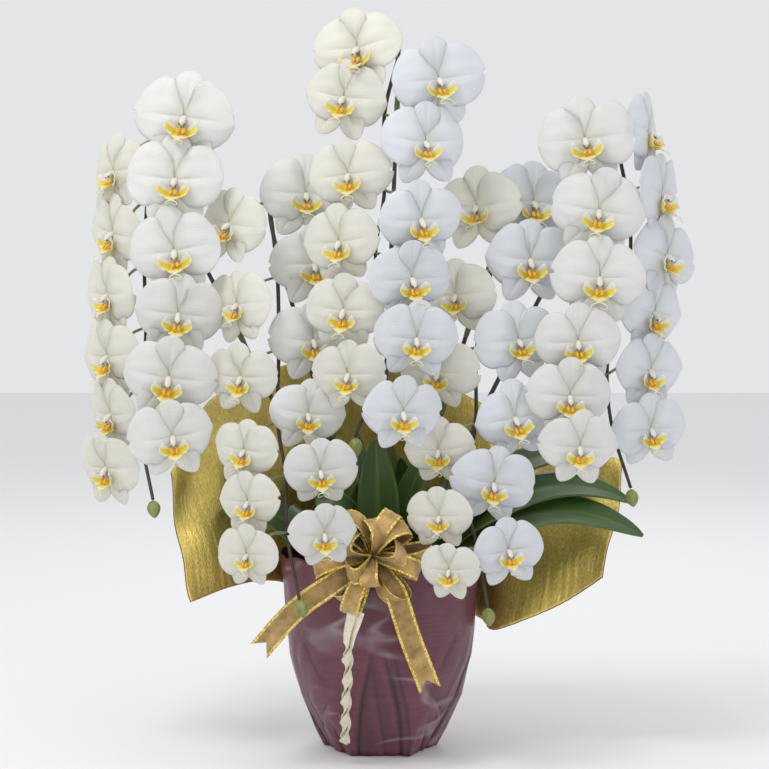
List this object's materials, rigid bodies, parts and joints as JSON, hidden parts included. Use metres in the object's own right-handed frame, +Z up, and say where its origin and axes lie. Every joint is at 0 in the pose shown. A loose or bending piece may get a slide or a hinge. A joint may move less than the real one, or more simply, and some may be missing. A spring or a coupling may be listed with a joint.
{
  "type": "potted orchid",
  "caption": "Gift moth orchid: arching white flower spikes in a mauve-wrapped pot with a gold paper collar and a gold ribbon bow.",
  "frame": {"origin": "middle of the flat underside of the wrapped pot", "axes": "+Z up, -Y towards the front, where the blooms and the bow face, +X to the right in the front view"},
  "size_m": [0.7074, 0.3503, 0.8459],
  "materials": {
    "petal": "satin",
    "leaf": "satin",
    "crown": "matte",
    "mauve_paper": "satin",
    "clear_film": "gloss",
    "gold_paper": "satin",
    "organza": "satin",
    "cream_cord": "matte",
    "glazed_pot": "gloss",
    "moss": "matte",
    "wire": "satin",
    "tie": "matte"
  },
  "bodies": {
    "root": {"wrap_paper": "mauve_paper", "clear_film": "clear_film", "ceramic_pot": "glazed_pot", "moss_cover": "moss", "gold_collar": "gold_paper", "collar_backing": "mauve_paper", "bow_ribbon": "organza", "bow_pick": "wire", "twisted_cord": "cream_cord", "root_ball_1": "moss", "crown_1": "crown", "flower_spike_1": "petal", "support_wire_1": "wire", "stem_tie_1": "tie", "leaf_1_1": "leaf", "leaf_1_2": "leaf", "leaf_1_3": "leaf", "root_ball_2": "moss", "crown_2": "crown", "flower_spike_2": "petal", "support_wire_2": "wire", "stem_tie_2": "tie", "leaf_2_1": "leaf", "leaf_2_2": "leaf", "leaf_2_3": "leaf", "root_ball_3": "moss", "crown_3": "crown", "flower_spike_3": "petal", "support_wire_3": "wire", "stem_tie_3": "tie", "leaf_3_1": "leaf", "leaf_3_2": "leaf", "leaf_3_3": "leaf", "leaf_3_4": "leaf", "root_ball_4": "moss", "crown_4": "crown", "flower_spike_4": "petal", "support_wire_4": "wire", "stem_tie_4": "tie", "leaf_4_1": "leaf", "leaf_4_2": "leaf", "leaf_4_3": "leaf", "root_ball_5": "moss", "crown_5": "crown", "flower_spike_5": "petal", "support_wire_5": "wire", "stem_tie_5": "tie", "leaf_5_1": "leaf", "leaf_5_2": "leaf", "leaf_5_3": "leaf", "leaf_5_4": "leaf"}
  },
  "joints": []
}
